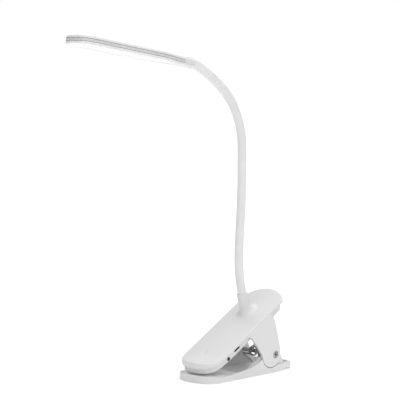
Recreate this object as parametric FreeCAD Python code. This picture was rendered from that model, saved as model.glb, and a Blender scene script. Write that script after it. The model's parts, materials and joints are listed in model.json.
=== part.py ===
"""Rechargeable clip-on reading lamp: a spring clip that holds the battery and the board, a bendable neck
and a flat lamp head.

Millimetres, +Z up.  The origin is on the surface that the clip stands on, straight below the clip's
pivot.  The clip's nose and the lamp head point along -Y, and the charging socket is on the +X side.
"""
import FreeCAD, Part
import math
import os

Vector = FreeCAD.Vector
X_AXIS = Vector(1, 0, 0)
Y_AXIS = Vector(0, 1, 0)
Z_AXIS = Vector(0, 0, 1)

# ---- driving sizes ---------------------------------------------------------------------------------

# clip, seen from above
clip_half_width = 25.0
jaw_nose_y = -94.0
cover_nose_y = -91.5
nose_front_radius = 42.0
nose_corner_radius = 17.0
cover_rear_y = 18.0
cover_rear_radius = 46.0
cover_rear_corner = 6.0
handle_half_width = 21.0
handle_shoulder_y = 12.0
handle_rear_y = 28.5

# pivot of the clip
pivot_z = 17.5
shaft_radius = 2.0
pivot_clearance = 0.05
screw_head_radius = 3.2
screw_head_height = 1.1
screw_recess_radius = 3.8
screw_seat_gap = 0.1
pivot_thread_radius = 1.25
pivot_thread_depth = 7.0

# sloping housing: the seam is the line where the cover meets the tray
body_slope = 30.2
seam_height = 65.06
seam_bend = -81.0
nose_bend_radius = 115.0
cover_crown = 3.6
cover_side_height = 1.3
cover_side_drop = 1.6
cover_wall = 2.0
cover_edge_round = 1.2
tray_depth = 7.95
tray_bend = -71.8
tray_bend_radius = 150.0
tray_wall = 1.6
tray_lip = 1.2
tray_gap = 0.25

# cheeks of the cover, which carry the pivot
cheek_thickness = 2.4
cheek_round_y = -6.0
cheek_round_z = 18.2
cheek_round_radius = 12.5
cheek_gap = 0.7
cheek_front_y = -25.5
cheek_front_z = 27.9
arch_y = -37.2
arch_radius = 7.0

# lower jaw
jaw_floor = 2.5
jaw_wall = 2.4
jaw_nose_height = 7.2
ear_thickness = 2.3
ear_radius = 8.5
ear_side_gap = 0.4
handle_height = 7.0

# grip pads
pad_gap = 0.3
pad_rib_pitch = 3.2
pad_rib_width = 1.6
pad_rib_height = 0.9
lower_pad_nose_height = 6.0
lower_pad_rear_y = -46.0
upper_pad_thickness = 0.9
upper_pad_rear_y = -68.0

# closing spring
spring_wire = 1.6
spring_mean_radius = 4.6
spring_bridge_half = 2.2
spring_coil_gap = 0.2
spring_turns = 3
spring_leg_x = 17.5
spring_leg_angle = 224.0
spring_foot_y = 10.5

# neck: tangent arcs and straights, leaning forward at its root and over at its top
neck_root_y = -22.5
neck_root_z = 78.6
neck_root_lean = 14.5
neck_root_radius = 144.0
neck_back_lean = -3.8
neck_straight = 37.0
neck_recover_radius = 600.0
neck_upright = 21.0
neck_top_radius = 76.0
neck_top_lean = 50.0
neck_over_radius = 160.0
neck_over_lean = 64.0
neck_end_radius = 30.0
head_lean = 81.5
neck_hinges = 8
sleeve_radius = 4.35
sleeve_bore = 3.15
conduit_radius = 3.05
conduit_bore = 2.1
lead_radius = 0.65
lead_spacing = 0.95
root_insert = 12.0
head_insert = 11.0
ball_gap = 0.3
ball_show = 2.4
ball_depth = 3.0
conduit_stop = 4.6
ferrule_radius = 4.6
ferrule_length = 2.4
ferrule_below = 8.6

# collar that rises out of the cover
collar_radius = 5.4
collar_lip_round = 0.7
collar_flare = 7.0

# battery, board and what sits on it
battery_length = 50.0
battery_width = 34.0
battery_thickness = 5.0
battery_rear = 5.0
board_length = 34.0
board_side_gap = 7.0
board_thickness = 0.8
board_front = -81.0
board_lift = 2.7
usb_u = -62.8
usb_rise = 1.25
usb_width = 7.5
usb_height = 2.5
usb_depth = 5.6
usb_shell = 0.3
usb_margin = 0.25
charge_light_u = -76.8
charge_light_rise = -0.55
charge_light_radius = 2.0
touch_u = -80.0
touch_spring_u = -78.0
touch_radius = 5.0
touch_thickness = 0.3
touch_mark_u = -82.9
touch_mark_radius = 4.0
touch_mark_depth = 0.5
case_screw_x = 19.9
case_screw_radius = 1.0
case_boss_radius = 2.2
case_screw_rows = (-38.0, -1.0)

# lamp head, measured from the end of the neck
head_length = 145.0
head_half_width = 17.5
head_taper = 57.0
head_low = -4.25
head_high = 3.3
head_parting = -1.75
head_wall = 1.3
head_tip_radius = 34.0
head_tip_corner = 12.0
head_top_round = 2.2
head_low_round = 0.8
socket_radius = 5.4
tail_cone = 44.0
parting_groove = 0.3
head_ferrule_radius = 3.9
head_ferrule_length = 1.8
diffuser_rim = 1.5
diffuser_thickness = 1.0
diffuser_rear = 20.0
led_board_width = 22.0
led_board_thickness = 0.8
led_board_front = 10.0
led_board_rear = 42.0
led_rows = (-6.0, 6.0)
led_first = 14.0
led_count = 11
led_pitch = 8.4
led_length = 3.5
led_width = 2.8
led_height = 0.7

# ---- helpers ---------------------------------------------------------------------------------------

os.makedirs("parts", exist_ok=True)

slope = math.radians(body_slope)
ALONG = Vector(0, math.cos(slope), math.sin(slope))
NORMAL = Vector(0, -math.sin(slope), math.cos(slope))
SEAM_ORIGIN = Vector(0, 0, seam_height)
board_width = 2 * (clip_half_width - board_side_gap)
board_top = board_lift - tray_depth
usb_n = board_top + usb_rise
charge_light_n = board_top + charge_light_rise
PIVOT = Vector(0, 0, pivot_z)
FAR = 400.0


def save(name, shape):
    """Write one sub-part, after checking that it is made of closed solids."""
    if shape.isNull() or not shape.isValid() or shape.Volume <= 0:
        raise ValueError("bad solid: " + name)
    shape.exportStep("parts/" + name + ".step")
    print("%-24s %2d solid(s) %10.1f mm3" % (name, len(shape.Solids), shape.Volume))


def loop(points, origin=Vector(0, 0, 0), across=X_AXIS, up=Y_AXIS):
    """A flat face from (a, b) points; a triple (a, b, 'arc') is the middle point of an arc."""
    def place(p):
        return origin + across * p[0] + up * p[1]
    edges = []
    closed = points + [points[0]]
    index = 0
    while index < len(closed) - 1:
        here = closed[index]
        following = closed[index + 1]
        if len(following) == 3:
            last = closed[index + 2]
            edges.append(Part.Arc(place(here), place(following), place(last)).toShape())
            index += 2
        else:
            edges.append(Part.LineSegment(place(here), place(following)).toShape())
            index += 1
    return Part.Face(Part.Wire(edges))


def rounded(before, corner, after, radius):
    """The three points of an arc that rounds the corner between two straight runs."""
    k = Vector(corner[0], corner[1], 0)
    one = (Vector(before[0], before[1], 0) - k).normalize()
    two = (Vector(after[0], after[1], 0) - k).normalize()
    half = one.getAngle(two) / 2
    start = k + one * (radius / math.tan(half))
    end = k + two * (radius / math.tan(half))
    middle = k + (one + two).normalize() * (radius / math.sin(half) - radius)
    return [(start.x, start.y), (middle.x, middle.y, "arc"), (end.x, end.y)]


def side_plate(points, x0, x1):
    """A plate parallel to YZ between two X values, from (y, z) points."""
    return loop(points, Vector(x0, 0, 0), Y_AXIS, Z_AXIS).extrude(Vector(x1 - x0, 0, 0))


def x_rod(radius, x0, x1, y=0.0, z=0.0):
    """A round bar along X."""
    return Part.makeCylinder(radius, x1 - x0, Vector(x0, y, z), X_AXIS)


def slope_point(u, n, x=0.0):
    """A point from its place along the slope, its height over the seam and its X."""
    return SEAM_ORIGIN + ALONG * u + NORMAL * n + X_AXIS * x


def slope_box(x0, x1, u0, u1, n0, n1):
    """A block lined up with the sloping housing."""
    corner = slope_point(u0, n0, x0)
    face = loop([(0, 0), (x1 - x0, 0), (x1 - x0, u1 - u0), (0, u1 - u0)], corner, X_AXIS, ALONG)
    return face.extrude(NORMAL * (n1 - n0))


def mirrored(shape):
    """The same shape on the other side of the lamp's middle plane."""
    return shape.mirror(Vector(0, 0, 0), X_AXIS)


def both_sides(shape):
    """A compound of a shape and its mirror image."""
    return Part.makeCompound([shape, mirrored(shape)])


def upright_edges(shape, test):
    """Straight vertical edges whose position passes a test."""
    found = []
    for edge in shape.Edges:
        ends = [v.Point for v in edge.Vertexes]
        if len(ends) == 2 and (ends[0] - ends[1]).cross(Z_AXIS).Length < 1e-6 and test(ends[0]):
            found.append(edge)
    return found


def plan_block(half_width, nose_y, rear_y, inset):
    """An upright block with the clip's outline: broad round nose, bowed rear, rounded corners."""
    side = half_width - inset
    front = nose_y + inset
    back = rear_y - inset
    nose_sag = nose_front_radius - math.sqrt(nose_front_radius ** 2 - side ** 2)
    rear_sag = cover_rear_radius - math.sqrt(cover_rear_radius ** 2 - side ** 2)
    outline = [
        (-side, front + nose_sag), (0, front, "arc"), (side, front + nose_sag),
        (side, back - rear_sag), (0, back, "arc"), (-side, back - rear_sag),
    ]
    block = loop(outline, Vector(0, 0, -20)).extrude(Vector(0, 0, 140))
    nose_edges = upright_edges(block, lambda p: p.y < front + nose_sag + 1)
    block = block.makeFillet(nose_corner_radius - inset, nose_edges)
    rear_edges = upright_edges(block, lambda p: p.y > back - rear_sag - 1)
    return block.makeFillet(cover_rear_corner - min(inset, cover_rear_corner - 1), rear_edges)


def sloped_bar(points, bend, bend_radius):
    """A section in (x, n) run down the slope and then round the bend that flattens the nose."""
    face = loop(points, slope_point(bend, 0), X_AXIS, NORMAL)
    straight = face.extrude(ALONG * (60.0 - bend))
    centre = slope_point(bend, bend_radius)
    curved = face.revolve(centre, X_AXIS, -body_slope)
    return straight.fuse(curved).removeSplitter()


def cover_section(inset, low):
    """The cover's crowned section, drawn this far inside its outer skin."""
    side = clip_half_width - inset
    return [
        (-side, low), (side, low), (side, cover_side_height - inset),
        (0, cover_crown - inset, "arc"), (-side, cover_side_height - inset),
    ]


# ---- clip: cover, tray and pads --------------------------------------------------------------------

collar_lean = math.radians(neck_root_lean)
COLLAR_AXIS = Vector(0, -math.sin(collar_lean), math.cos(collar_lean))
COLLAR_TOP = Vector(0, neck_root_y, neck_root_z)


def cheek_plate():
    """One cheek: from the cover's rim to a round end below the pivot, with an arch in front."""
    front = (cheek_round_y - cheek_round_radius, cheek_round_z)
    rear = (cheek_round_y + cheek_round_radius, cheek_round_z)
    low = (cheek_round_y, cheek_round_z - cheek_round_radius, "arc")
    knee = (cheek_front_y, cheek_front_z)
    rim = seam_height - cover_side_drop / math.cos(slope)
    apex = (arch_y, rim + arch_y * math.tan(slope))
    past = (arch_y - 20.0, rim + (arch_y - 20.0) * math.tan(slope))
    start, middle, end = rounded(knee, apex, past, arch_radius)
    outline = [(-8.0, 61.0)] + rounded((-8.0, 61.0), (-2.5, 55.0), (1.8, 39.0), 9.0)
    outline += rounded((-2.5, 55.0), (2.2, 39.0), (rear[0] + 0.2, 23.0), 60.0)
    outline += [(rear[0], 23.0), rear, low, front]
    outline += rounded(front, knee, apex, 24.0)
    outline += [start, middle, end, (end[0], end[1] + 4.0)]
    return side_plate(outline, clip_half_width - cheek_thickness, clip_half_width)


def cover():
    """Top cover with its collar, its two cheeks and the bosses for the case screws."""
    plan = plan_block(clip_half_width, cover_nose_y, cover_rear_y, 0.0)
    outer = sloped_bar(cover_section(0.0, -cover_side_drop), seam_bend, nose_bend_radius).common(plan)
    outer = outer.makeFillet(cover_edge_round, [e for e in outer.Edges if on_top_edge(e)])
    collar = Part.makeCylinder(collar_radius, 24.0, COLLAR_TOP - COLLAR_AXIS * 24.0, COLLAR_AXIS)
    collar = collar.makeFillet(collar_lip_round, [e for e in collar.Edges if ring_at(e, COLLAR_TOP)])
    outer = outer.fuse(collar)
    outer = outer.makeFillet(collar_flare, [e for e in outer.Edges if collar_root(e)])
    inner = sloped_bar(cover_section(cover_wall, -20.0), seam_bend, nose_bend_radius)
    inner = inner.common(plan_block(clip_half_width, cover_nose_y, cover_rear_y, cover_wall))
    below = sloped_bar([(-40, -60), (40, -60), (40, 0.6), (-40, 0.6)], seam_bend, nose_bend_radius)
    cheek = cheek_plate().common(below)
    body = outer.cut(inner).fuse([cheek, mirrored(cheek)])
    boss = Part.makeCylinder(case_boss_radius, FAR,
                             slope_point(0, -tray_depth + tray_wall, case_screw_x), NORMAL)
    hole = Part.makeCylinder(case_screw_radius, 6.0, slope_point(0, -tray_depth, case_screw_x), NORMAL)
    for row in case_screw_rows:
        post = boss.translated(ALONG * row).common(inner)
        body = body.fuse([post, mirrored(post)])
    for row in case_screw_rows:
        body = body.cut(hole.translated(ALONG * row)).cut(mirrored(hole.translated(ALONG * row)))
    body = body.cut(Part.makeCylinder(sleeve_radius, FAR, COLLAR_TOP - COLLAR_AXIS * root_insert,
                                      COLLAR_AXIS))
    body = body.cut(Part.makeCylinder(conduit_radius + 0.1, 40.0, COLLAR_TOP - COLLAR_AXIS * 34.0,
                                      COLLAR_AXIS))
    pocket_depth = root_insert + ferrule_below - ferrule_length - 0.1
    pocket = Part.makeCylinder(ferrule_radius + 0.1, 12.0,
                               COLLAR_TOP - COLLAR_AXIS * (pocket_depth + 12.0), COLLAR_AXIS)
    body = body.cut(pocket)
    body = body.cut(x_rod(shaft_radius + pivot_clearance, -30, 30, 0, pivot_z))
    body = body.cut(touch_mark())
    recess_floor = clip_half_width - screw_head_height - 2 * screw_seat_gap
    recess = x_rod(screw_recess_radius, recess_floor, 40, 0, pivot_z)
    return body.cut(recess).cut(mirrored(recess)).removeSplitter()


def touch_mark():
    """The ball that presses the shallow round touch mark into the top of the cover."""
    radius = (touch_mark_radius ** 2 + touch_mark_depth ** 2) / (2 * touch_mark_depth)
    return Part.makeSphere(radius, slope_point(touch_mark_u, cover_crown - touch_mark_depth + radius))


def on_top_edge(edge):
    """Whether an edge of the plain cover block runs round the rim of its top."""
    for vertex in edge.Vertexes:
        if (vertex.Point - SEAM_ORIGIN).dot(NORMAL) < cover_side_height * 0.5:
            return False
    middle = edge.valueAt((edge.FirstParameter + edge.LastParameter) / 2)
    crosses = abs(middle.x) < 0.1 and cover_nose_y + 3 < middle.y < cover_rear_y - 3
    return not crosses


def ring_at(edge, centre):
    """Whether an edge is a full circle centred on a point."""
    return edge.Curve.TypeId == "Part::GeomCircle" and (edge.Curve.Center - centre).Length < 1e-6


def collar_root(edge):
    """Whether an edge is where the collar rises out of the cover."""
    for vertex in edge.Vertexes:
        offset = vertex.Point - COLLAR_TOP
        across = offset - COLLAR_AXIS * offset.dot(COLLAR_AXIS)
        if abs(across.Length - collar_radius) > 1e-3 or not -23.0 < offset.dot(COLLAR_AXIS) < -10.0:
            return False
    middle = edge.valueAt((edge.FirstParameter + edge.LastParameter) / 2) - COLLAR_TOP
    across = middle - COLLAR_AXIS * middle.dot(COLLAR_AXIS)
    return abs(across.Length - collar_radius) < 1e-3


def tray_section(inset, low, high):
    """A plain section for the tray, inside the cover."""
    side = clip_half_width - max(cheek_thickness, cover_wall) - tray_gap - inset
    return [(-side, low), (side, low), (side, high), (-side, high)]


def tray():
    """Open tray under the cover that holds the battery and the board."""
    margin = max(cheek_thickness, cover_wall) + tray_gap
    radius = tray_bend_radius
    outer = sloped_bar(tray_section(0, -tray_depth, 6.0), tray_bend, radius)
    outer = outer.common(plan_block(clip_half_width, cover_nose_y, cover_rear_y, margin))
    hollow = sloped_bar(tray_section(tray_wall, -tray_depth + tray_wall, 20.0), tray_bend, radius)
    hollow = hollow.common(plan_block(clip_half_width, cover_nose_y, cover_rear_y, margin + tray_wall))
    lid = sloped_bar([(-40, tray_lip), (40, tray_lip), (40, 40), (-40, 40)], seam_bend, nose_bend_radius)
    under_cover = sloped_bar(cover_section(cover_wall + tray_gap, -40.0), seam_bend, nose_bend_radius)
    body = outer.cut(hollow).cut(lid).common(under_cover)
    slot = slope_box(10, 30, usb_u - usb_width / 2 - usb_margin, usb_u + usb_width / 2 + usb_margin,
                     usb_n - usb_height / 2 - usb_margin, usb_n + usb_height / 2 + usb_margin)
    light = x_rod(charge_light_radius, 15, 30).translated(slope_point(charge_light_u, charge_light_n))
    body = body.cut(slot).cut(light)
    for row in case_screw_rows:
        hole = Part.makeCylinder(case_screw_radius + 0.1, 30,
                                 slope_point(row, -tray_depth - 5, case_screw_x), NORMAL)
        boss = Part.makeCylinder(case_boss_radius + 0.15, 30,
                                 slope_point(row, -tray_depth + tray_wall, case_screw_x), NORMAL)
        for tool in (hole, boss):
            body = body.cut(tool).cut(mirrored(tool))
    return body.removeSplitter()


def upper_pad():
    """Rubber pad under the tray's nose."""
    low = -tray_depth - upper_pad_thickness
    margin = max(cheek_thickness, cover_wall) + tray_gap + 1.6
    bar = sloped_bar([(-40, low), (40, low), (40, -tray_depth), (-40, -tray_depth)], tray_bend,
                     tray_bend_radius)
    block = plan_block(clip_half_width, cover_nose_y, upper_pad_rear_y + 12.0, margin)
    front_part = Part.makeBox(100, 100, 100, Vector(-50, upper_pad_rear_y - 100, 0))
    return bar.common(block).common(front_part)


# ---- clip: lower jaw and its pad -------------------------------------------------------------------

def jaw_plan(inset):
    """Upright block with the lower jaw's outline, from its round nose to its narrower handle."""
    side = clip_half_width - inset
    front = jaw_nose_y + inset
    sag = nose_front_radius - math.sqrt(nose_front_radius ** 2 - side ** 2)
    grip = handle_half_width - inset
    rear = handle_rear_y - inset
    outline = [
        (-side, front + sag), (0, front, "arc"), (side, front + sag),
        (side, handle_shoulder_y - 6), (side - 1, handle_shoulder_y + 2), (grip, handle_shoulder_y + 6),
        (grip, rear - 1.5), (0, rear, "arc"), (-grip, rear - 1.5),
        (-grip, handle_shoulder_y + 6), (-side + 1, handle_shoulder_y + 2), (-side,
                                                                             handle_shoulder_y - 6),
    ]
    block = loop(outline, Vector(0, 0, -20)).extrude(Vector(0, 0, 80))
    block = block.makeFillet(nose_corner_radius - inset,
                             upright_edges(block, lambda p: p.y < front + sag + 1))
    return block.makeFillet(2.5, upright_edges(block, lambda p: p.y > rear - 2))


def lower_jaw():
    """Lower jaw: a shallow tray with two pivot ears inside and a pressing handle behind."""
    nose = jaw_nose_y - 1
    rear = handle_rear_y + 1
    outline = [
        (nose, 0), (rear - 18, 0), (rear, 1.0), (rear, handle_height), (2.0, handle_height),
        (cheek_round_y, 4.6), (-19.2, 15.2), (-26.0, 11.2), (-36.0, 8.4), (-50.0, 6.8), (-66.0, 5.5),
        (-74.0, 5.4), (-84.0, 6.4), (nose, jaw_nose_height + 0.3),
    ]
    walls = side_plate(outline, -clip_half_width, clip_half_width).common(jaw_plan(0.0))
    cavity = jaw_plan(jaw_wall).common(Part.makeBox(200, 200, 60, Vector(-100, -150, jaw_floor)))
    body = walls.cut(cavity)
    ear_outer = clip_half_width - cheek_thickness - ear_side_gap
    outline = [
        (-40.0, jaw_floor - 0.5), (16.0, jaw_floor - 0.5), (16.0, jaw_floor + 1.0),
        (ear_radius * 0.9, pivot_z + ear_radius * 0.4), (-ear_radius * 0.55, pivot_z + ear_radius * 0.83),
        (-40.0, jaw_floor + 3.0),
    ]
    ear = side_plate(outline, ear_outer - ear_thickness, ear_outer)
    ear = ear.fuse(x_rod(ear_radius, ear_outer - ear_thickness, ear_outer, 0, pivot_z))
    recess = x_rod(cheek_round_radius + cheek_gap, ear_outer, 60, cheek_round_y, cheek_round_z)
    body = body.cut(recess).cut(mirrored(recess))
    body = body.fuse([ear, mirrored(ear)])
    return body.cut(x_rod(shaft_radius, -60, 60, 0, pivot_z)).removeSplitter()


def lower_pad():
    """Ribbed rubber pad lying in the jaw, thicker under the nose."""
    top = [(jaw_nose_y, lower_pad_nose_height), (-80.0, 5.2), (-66.0, 4.6), (lower_pad_rear_y, 4.2)]
    outline = [(jaw_nose_y, jaw_floor)] + top + [(lower_pad_rear_y, jaw_floor)]
    base = side_plate(outline, -clip_half_width, clip_half_width)
    ribs = []
    count = int((lower_pad_rear_y - jaw_nose_y - 8.0) / pad_rib_pitch)
    for index in range(count):
        y = lower_pad_rear_y - 2.0 - index * pad_rib_pitch
        left, right = [pair for pair in zip(top, top[1:]) if pair[0][0] <= y <= pair[1][0]][0]
        height = left[1] + (right[1] - left[1]) * (y - left[0]) / (right[0] - left[0])
        ribs.append(Part.makeBox(100, pad_rib_width, height + pad_rib_height - jaw_floor,
                                 Vector(-50, y - pad_rib_width, jaw_floor)))
    pad = base.fuse(ribs).common(jaw_plan(jaw_wall + pad_gap))
    return pad.removeSplitter()


# ---- clip: pivot and spring ------------------------------------------------------------------------

def pivot_shaft():
    """Plated shaft through both ears, threaded at each end."""
    half = clip_half_width - screw_head_height - screw_seat_gap
    shaft = x_rod(shaft_radius, -half, half, 0, pivot_z)
    thread = x_rod(pivot_thread_radius, half - pivot_thread_depth, half, 0, pivot_z)
    return shaft.cut(thread).cut(mirrored(thread))


def pivot_screws():
    """One cross-head screw in each end of the shaft."""
    half = clip_half_width - screw_head_height - screw_seat_gap
    shank = x_rod(pivot_thread_radius, half - pivot_thread_depth + 0.5, half, 0, pivot_z)
    head = x_rod(screw_head_radius, half, half + screw_head_height, 0, pivot_z)
    head = head.makeFillet(0.5,
                           [e for e in head.Edges if abs(e.BoundBox.XMin - head.BoundBox.XMax) < 1e-6])
    cross = Part.makeBox(0.6, 3.4, 0.8, Vector(half + screw_head_height - 0.6, -1.7, pivot_z - 0.4))
    upright = Part.makeBox(0.6, 0.8, 3.4, Vector(half + screw_head_height - 0.6, -0.4, pivot_z - 1.7))
    return both_sides(head.fuse(shank).cut(cross).cut(upright))


def rod_chain(radius, corners):
    """Round wire through a list of points, with ball-shaped corners."""
    pieces = [Part.makeSphere(radius, corner) for corner in corners]
    for a, b in zip(corners, corners[1:]):
        pieces.append(Part.makeCylinder(radius, (b - a).Length, a, b - a))
    return pieces[0].fuse(pieces[1:])


def spring_coils():
    """The closing spring's two coils; each runs out along the shaft and then back down to the handle."""
    wire = spring_wire / 2
    x0 = spring_bridge_half + wire + spring_coil_gap
    x1 = x0 + spring_turns * spring_wire
    outer = x_rod(spring_mean_radius + wire, x0, x1, 0, pivot_z)
    coil = outer.cut(x_rod(spring_mean_radius - wire, x0, x1, 0, pivot_z))
    angle = math.radians(spring_leg_angle)
    leave_y = spring_mean_radius * math.cos(angle)
    leave_z = pivot_z + spring_mean_radius * math.sin(angle)
    corners = [
        Vector(x1 - wire, leave_y, leave_z), Vector(spring_leg_x, leave_y, leave_z),
        Vector(spring_leg_x, spring_foot_y, jaw_floor + wire + 0.1),
    ]
    return both_sides(coil.fuse(rod_chain(wire, corners)))


def spring_bridge():
    """The bridge between the two coils, which presses up under the tray."""
    wire = spring_wire / 2
    half = spring_bridge_half
    top = slope_point(3.0, -tray_depth - wire - 0.1)
    reach = (top - PIVOT).normalize()
    start = PIVOT - reach.cross(X_AXIS) * spring_mean_radius
    return rod_chain(wire,
                     [start + X_AXIS * half, top + X_AXIS * half, top - X_AXIS * half, start - X_AXIS * half])


# ---- clip: what the housing holds ------------------------------------------------------------------

def battery():
    """Flat lithium cell behind the board."""
    floor = -tray_depth + tray_wall + 0.1
    front = battery_rear - battery_length
    half = battery_width / 2
    cell = slope_box(-half, half, front, battery_rear, floor, floor + battery_thickness)
    long_edges = [e for e in cell.Edges
                  if abs((e.Vertexes[0].Point - e.Vertexes[1].Point).normalize() * ALONG) > 0.99]
    return cell.makeFillet(1.8, long_edges)


def control_board():
    """Charging and dimming board."""
    half = board_width / 2
    return slope_box(-half, half, board_front, board_front + board_length,
                     board_top - board_thickness, board_top)


def board_parts():
    """The charger chip, the driver chip, the coil and two capacitors on the board."""
    plans = [(-8.0, -58.0, 5.0, 4.0, 1.2), (2.0, -56.0, 4.0, 5.0, 1.4), (-9.0, -66.0, 5.0, 5.0, 2.4),
             (6.0, -66.0, 2.0, 1.3, 1.0), (6.0, -69.5, 2.0, 1.3, 1.0)]
    blocks = []
    for x, u, wide, deep, tall in plans:
        blocks.append(slope_box(x - wide / 2, x + wide / 2, u - deep / 2, u + deep / 2, board_top,
                                board_top + tall))
    return Part.makeCompound(blocks)


def usb_socket():
    """Charging socket: a pressed steel shell with its tongue, its mouth in the tray's side."""
    side = clip_half_width - max(cheek_thickness, cover_wall) - tray_gap
    x1 = side - 0.2
    x0 = x1 - usb_depth
    half = usb_width / 2
    low = usb_n - usb_height / 2
    high = usb_n + usb_height / 2
    shell = slope_box(x0, x1, usb_u - half, usb_u + half, low, high)
    cavity = slope_box(x0 + usb_shell, x1 + 1, usb_u - half + usb_shell, usb_u + half - usb_shell,
                       low + usb_shell, high - usb_shell)
    tongue = slope_box(x0, x1 - 0.8, usb_u - half + 1.4, usb_u + half - 1.4, usb_n + 0.1, usb_n + 0.65)
    return shell.cut(cavity).fuse(tongue)


def charge_light():
    """Small dark window of the charge indicator, in the tray's side."""
    side = clip_half_width - max(cheek_thickness, cover_wall) - tray_gap
    lens = x_rod(charge_light_radius, side - 3.0, side - 0.1)
    return lens.translated(slope_point(charge_light_u, charge_light_n))


def touch_plate():
    """Copper disc under the cover that senses a finger."""
    top = cover_crown - cover_wall - 0.25
    return Part.makeCylinder(touch_radius, touch_thickness,
                             slope_point(touch_u, top - touch_thickness), NORMAL)


def touch_spring():
    """Contact spring between the board and the touch plate."""
    top = cover_crown - cover_wall - 0.25 - touch_thickness
    base = slope_point(touch_spring_u, board_top)
    outer = Part.makeCylinder(2.2, top - board_top, base, NORMAL)
    return outer.cut(Part.makeCylinder(1.7, top - board_top, base, NORMAL))


def case_screws():
    """Self-tapping screws that hold the tray to the cover."""
    screws = []
    for row in case_screw_rows:
        base = slope_point(row, -tray_depth, case_screw_x)
        head = Part.makeCylinder(1.9, 1.1, base - NORMAL * 1.1, NORMAL)
        shank = Part.makeCylinder(case_screw_radius, 5.5, base, NORMAL)
        screw = head.fuse(shank)
        screws.extend([screw, mirrored(screw)])
    return Part.makeCompound(screws)


def battery_leads():
    """Red and black leads from the cell to the board."""
    leads = []
    front = battery_rear - battery_length
    height = -tray_depth + tray_wall + 0.1 + battery_thickness * 0.6
    for x in (-13.5, -11.0):
        a = slope_point(front, height, x)
        b = slope_point(board_front + board_length - 3.0, height, x)
        leads.append(Part.makeCylinder(0.6, (b - a).Length, a, b - a))
    return Part.makeCompound(leads)


def root_ferrule():
    """Crimped ring that anchors the neck's steel conduit under the cover."""
    base = COLLAR_TOP - COLLAR_AXIS * (root_insert + ferrule_below)
    ring = Part.makeCylinder(ferrule_radius, ferrule_length, base, COLLAR_AXIS)
    return ring.cut(Part.makeCylinder(conduit_radius, 30, base - COLLAR_AXIS * 5, COLLAR_AXIS))


# ---- neck ------------------------------------------------------------------------------------------

class NeckLine:
    """The neck's centre line in the lamp's middle plane: tangent arcs and straights."""

    def __init__(self):
        lean = math.radians
        turns = [
            (root_insert, 0.0),
            (lean(neck_root_lean - neck_back_lean) * neck_root_radius, -1.0 / neck_root_radius),
            (neck_straight, 0.0),
            (lean(-neck_back_lean) * neck_recover_radius, 1.0 / neck_recover_radius),
            (neck_upright, 0.0),
            (lean(neck_top_lean) * neck_top_radius, 1.0 / neck_top_radius),
            (lean(neck_over_lean - neck_top_lean) * neck_over_radius, 1.0 / neck_over_radius),
            (lean(head_lean - neck_over_lean) * neck_end_radius, 1.0 / neck_end_radius),
            (head_insert, 0.0),
        ]
        start = COLLAR_TOP - COLLAR_AXIS * root_insert
        self.spans = []
        distance = 0.0
        angle = math.radians(neck_root_lean)
        for length, bend in turns:
            self.spans.append((distance, length, bend, start, angle))
            start, angle = self.step(start, angle, bend, length)
            distance += length
        self.length = distance

    @staticmethod
    def step(point, angle, bend, length):
        """Where a run that starts here, leaning this much, gets to after a length."""
        turned = angle + bend * length
        if bend == 0.0:
            return point + Vector(0, -math.sin(angle), math.cos(angle)) * length, turned
        y = point.y + (math.cos(turned) - math.cos(angle)) / bend
        z = point.z + (math.sin(turned) - math.sin(angle)) / bend
        return Vector(0, y, z), turned

    def at(self, distance):
        """The point and the forward lean at a distance along the line."""
        for first, length, bend, start, angle in self.spans:
            if distance <= first + length + 1e-9:
                return self.step(start, angle, bend, distance - first)
        raise ValueError("past the neck's end")

    def sweep(self, face_at, low, high):
        """A section carried along the line between two distances; face_at makes it at a point."""
        pieces = []
        for first, length, bend, start, angle in self.spans:
            a = max(low, first)
            b = min(high, first + length)
            if b - a < 1e-4:
                continue
            point, lean = self.step(start, angle, bend, a - first)
            face = face_at(point, Vector(0, -math.sin(lean), math.cos(lean)))
            if bend == 0.0:
                pieces.append(face.extrude(Vector(0, -math.sin(lean), math.cos(lean)) * (b - a)))
            else:
                centre = point + Vector(0, -math.cos(lean), -math.sin(lean)) * (1.0 / bend)
                pieces.append(face.revolve(centre, X_AXIS, math.degrees(bend * (b - a))))
        return pieces[0].fuse(pieces[1:]).removeSplitter() if len(pieces) > 1 else pieces[0]

    def direction(self, distance):
        """The line's direction at a distance along it."""
        angle = self.at(distance)[1]
        return Vector(0, -math.sin(angle), math.cos(angle))


neck = NeckLine()
neck_visible = neck.length - root_insert - head_insert
hinge_pitch = neck_visible / neck_hinges
hinge_at = [root_insert + hinge_pitch * (k + 0.5) for k in range(neck_hinges)]


def tube_along(radius, bore, low, high, shift=0.0):
    """A round tube or bar along the neck, moved sideways if asked."""
    def section(point, along):
        disc = Part.Face(Part.Wire(Part.makeCircle(radius, point + X_AXIS * shift, along)))
        if not bore:
            return disc
        return disc.cut(Part.Face(Part.Wire(Part.makeCircle(bore, point + X_AXIS * shift,
                                                            along)))).Faces[0]
    return neck.sweep(section, low, high)


def sleeve(index):
    """One length of the soft sleeve: a ball at its lower hinge, a cup at its upper one."""
    low = hinge_at[index - 1] if index > 0 else 0.0
    high = hinge_at[index] - ball_show if index < neck_hinges else neck.length
    body = tube_along(sleeve_radius, sleeve_bore, low, high)
    if index > 0:
        centre = neck.at(low)[0]
        along = neck.direction(low)
        ball = Part.makeSphere(sleeve_radius, centre)
        ball = ball.common(Part.makeCylinder(20, ball_depth, centre - along * ball_depth, along))
        ball = ball.cut(Part.makeCylinder(sleeve_bore, 20, centre - along * 10, along))
        body = body.fuse(ball)
    if index < neck_hinges:
        body = body.cut(Part.makeSphere(sleeve_radius + ball_gap, neck.at(hinge_at[index])[0]))
    return body.removeSplitter()


def inner_span(index):
    """Where the conduit and leads of one length start and stop, clear of its hinges."""
    low = hinge_at[index - 1] + conduit_stop if index > 0 else -8.0
    high = hinge_at[index] - conduit_stop if index < neck_hinges else neck.length + 2.0
    return low, high


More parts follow.
